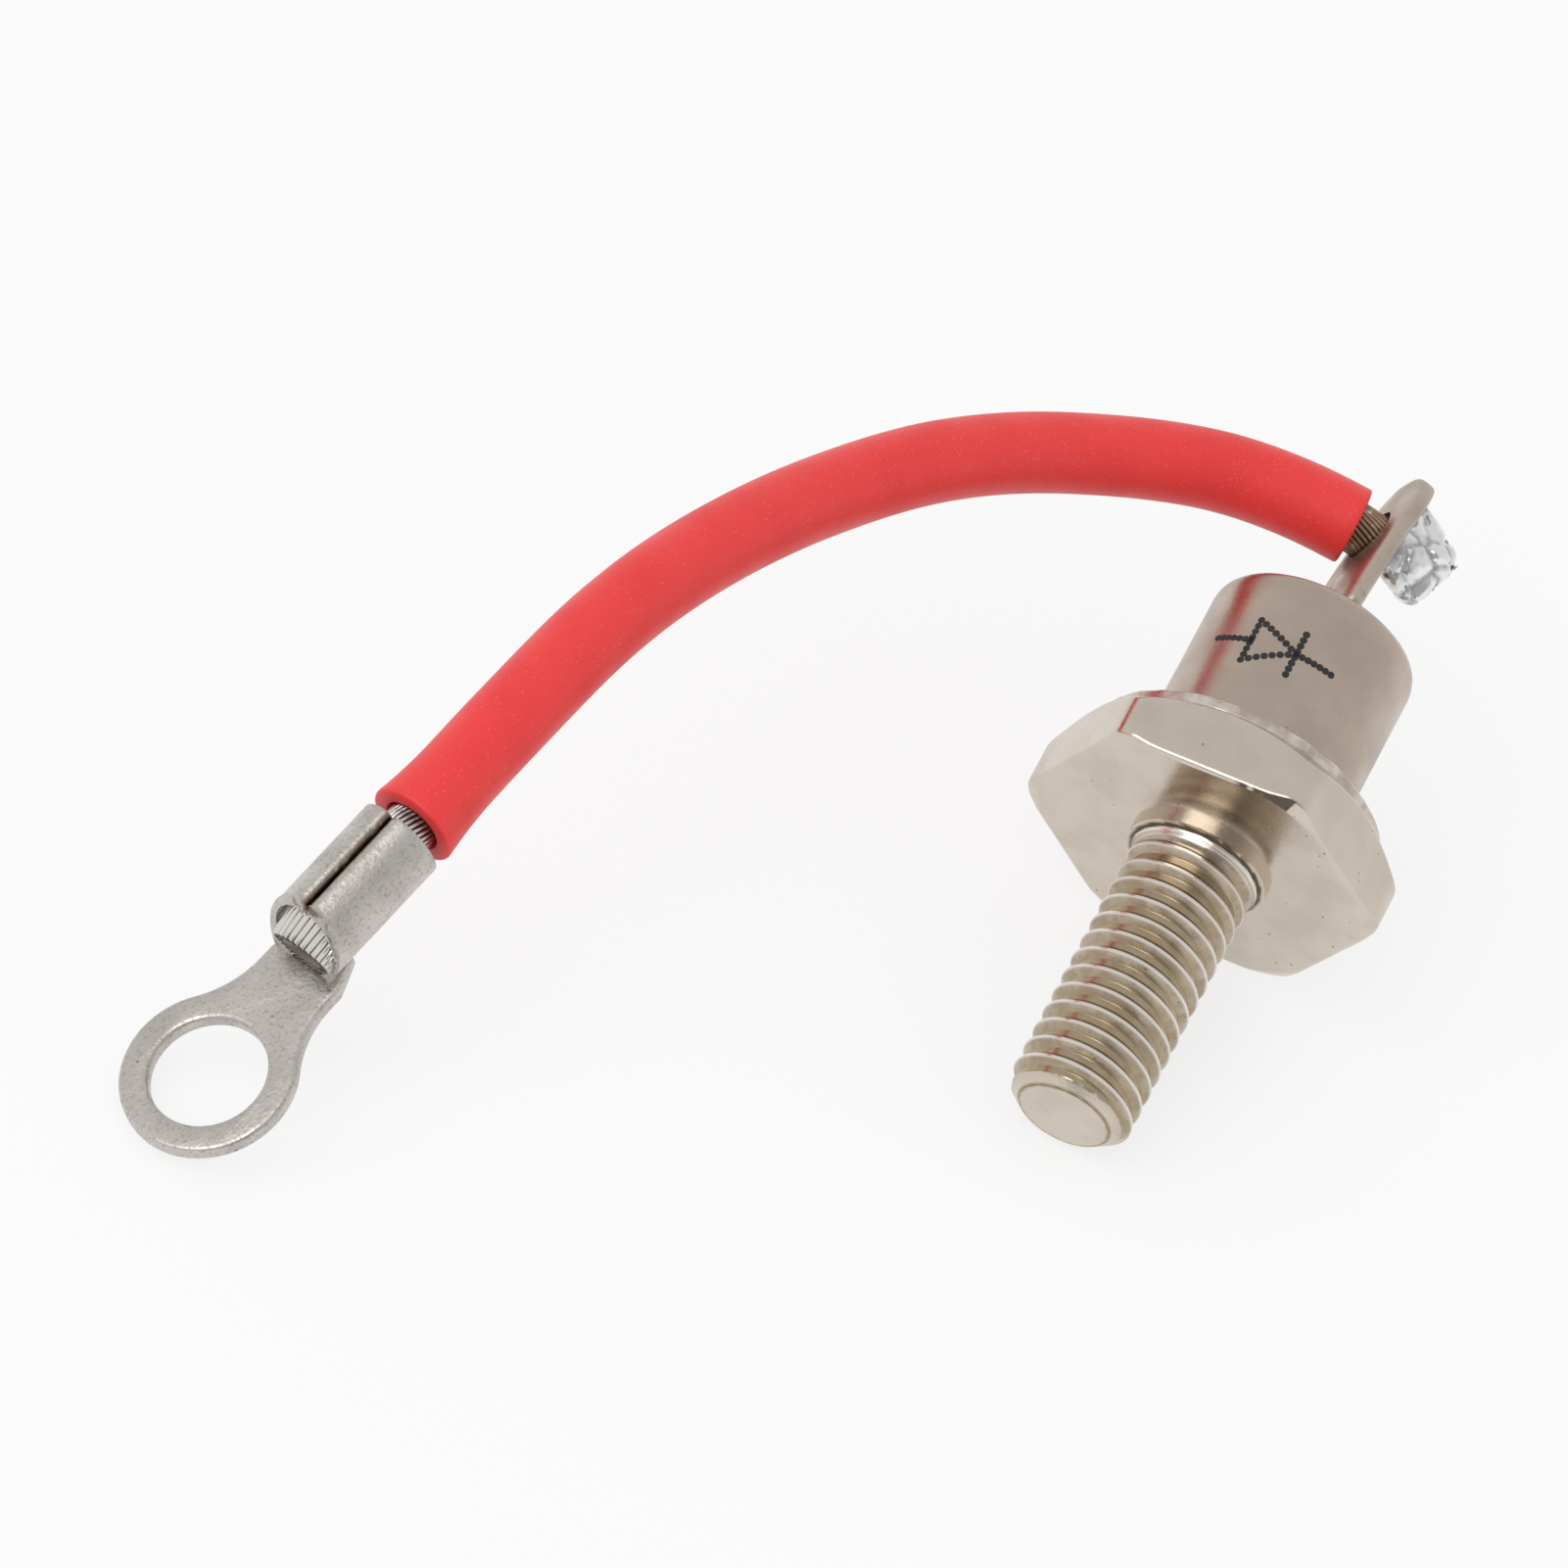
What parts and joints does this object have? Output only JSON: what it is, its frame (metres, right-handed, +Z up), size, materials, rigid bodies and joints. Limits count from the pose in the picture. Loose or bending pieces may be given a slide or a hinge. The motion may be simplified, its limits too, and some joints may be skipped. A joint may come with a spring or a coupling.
{
  "type": "stud rectifier diode",
  "caption": "Stud-mounted rectifier diode with a hex base, round metal cap, solder lug, short red flexible lead and crimped ring terminal, lying on a table.",
  "frame": {"origin": "on the table under the middle of the diode's own box, its lead and ring terminal left out", "axes": "+Z up from the table, +X the level heading of the stud's end, +Y to its left; the lead lies on the -Y side"},
  "size_m": [0.0618, 0.0449, 0.017],
  "materials": {
    "stud_base": "satin nickel plating over copper",
    "weld_ring": "plain steel",
    "cap_shell": "satin nickel plating over steel",
    "glass_seal": "dark green fused glass",
    "terminal_lug": "tinned copper, satin",
    "lower_disc": "lapped molybdenum",
    "silicon_die": "polished silicon",
    "upper_disc": "lapped molybdenum",
    "contact_pin": "plain copper",
    "die_solder": "solder",
    "junction_coating": "soft junction coating",
    "lug_solder": "bright uneven solder",
    "lead_conductor": "tinned copper strands, partly tarnished",
    "lead_insulation": "satin red silicone rubber",
    "ring_terminal": "matte tinned copper"
  },
  "bodies": {
    "root": {"stud_base": "stud_base", "weld_ring": "weld_ring", "cap_shell": "cap_shell", "glass_seal": "glass_seal", "terminal_lug": "terminal_lug", "lower_disc": "lower_disc", "silicon_die": "silicon_die", "upper_disc": "upper_disc", "contact_pin": "contact_pin", "die_solder": "die_solder", "junction_coating": "junction_coating", "lug_solder": "lug_solder", "lead_conductor": "lead_conductor", "lead_insulation": "lead_insulation", "ring_terminal": "ring_terminal"}
  },
  "joints": []
}
